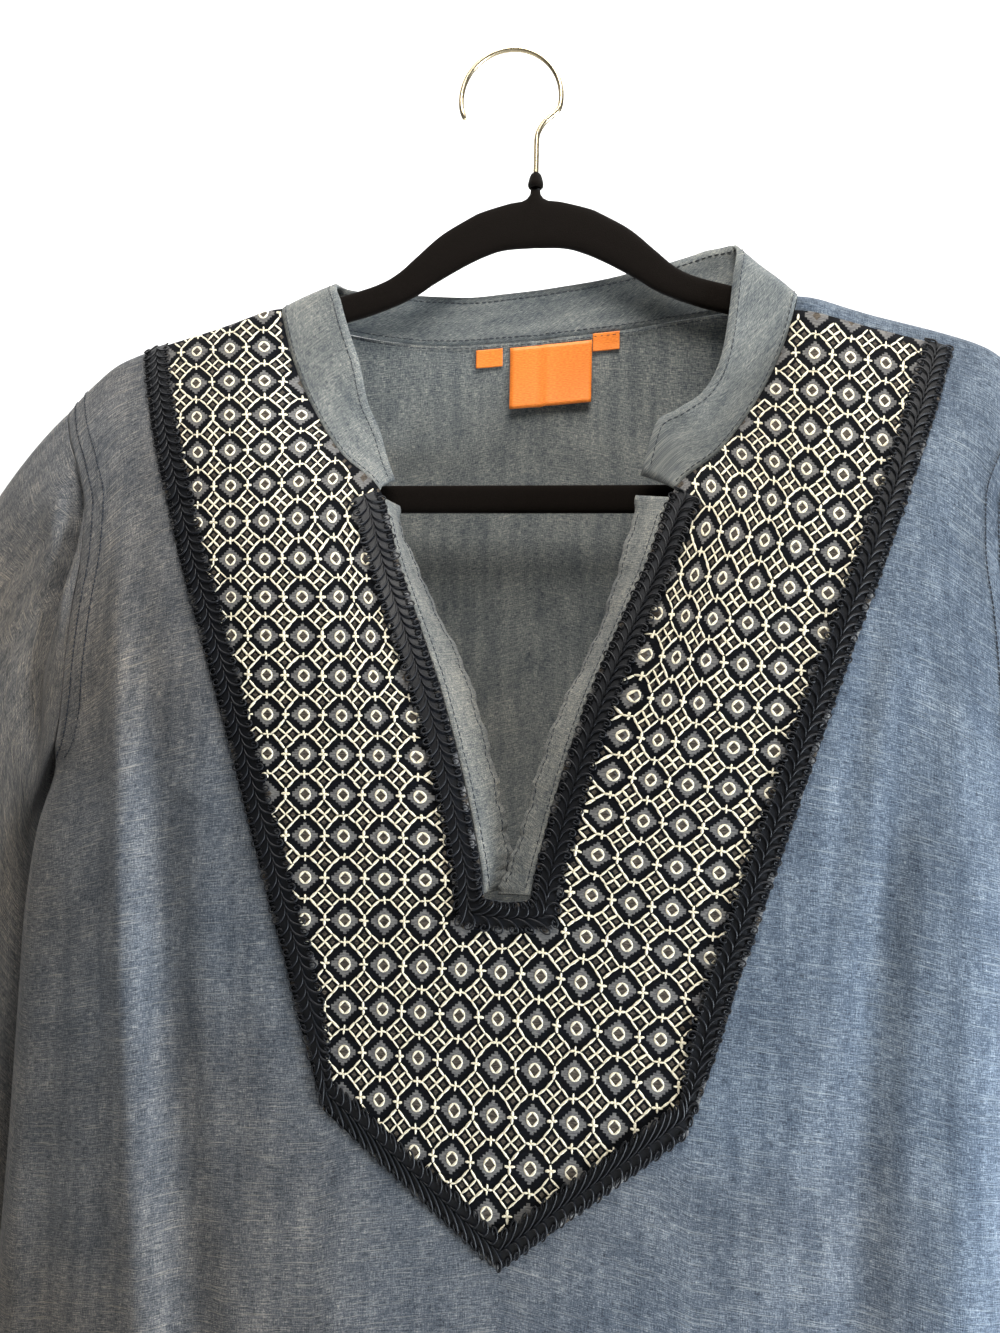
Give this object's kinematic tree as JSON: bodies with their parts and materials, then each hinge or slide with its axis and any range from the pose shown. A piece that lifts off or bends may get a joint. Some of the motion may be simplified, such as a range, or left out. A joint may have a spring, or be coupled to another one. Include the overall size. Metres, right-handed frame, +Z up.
{
  "type": "embroidered tunic on a hanger",
  "caption": "Long-sleeved chambray tunic with a stand collar, an open V neck and a braid-edged embroidered bib, hung on a flat velvet hanger with a wire hook.",
  "frame": {"origin": "inner top of the hook's bend, where it rests on a rail", "axes": "+Z up, -Y the way the garment's front faces, +X towards the viewer's right along the hanger"},
  "size_m": [0.7372, 0.1106, 0.8585],
  "materials": {
    "chambray": "matt slubby plain weave, slate blue",
    "embroidered_cloth": "matt cross-stitch in cream, grey and navy thread",
    "braid": "silky navy gimp cord",
    "label": "satin-woven orange ribbon",
    "velvet": "black flocked velvet on a plastic core",
    "hook_wire": "champagne-tinted bright wire"
  },
  "bodies": {
    "root": {"front": "chambray", "back": "chambray", "sleeve_left": "chambray", "sleeve_right": "chambray", "collar": "chambray", "opening_strip_left": "chambray", "opening_strip_right": "chambray", "bib": "embroidered_cloth", "braid_outer": "braid", "braid_inner": "braid", "label_main": "label", "label_size": "label", "label_origin": "label", "hanger": "velvet", "hook_ferrule": "velvet", "hook": "hook_wire"}
  },
  "joints": []
}
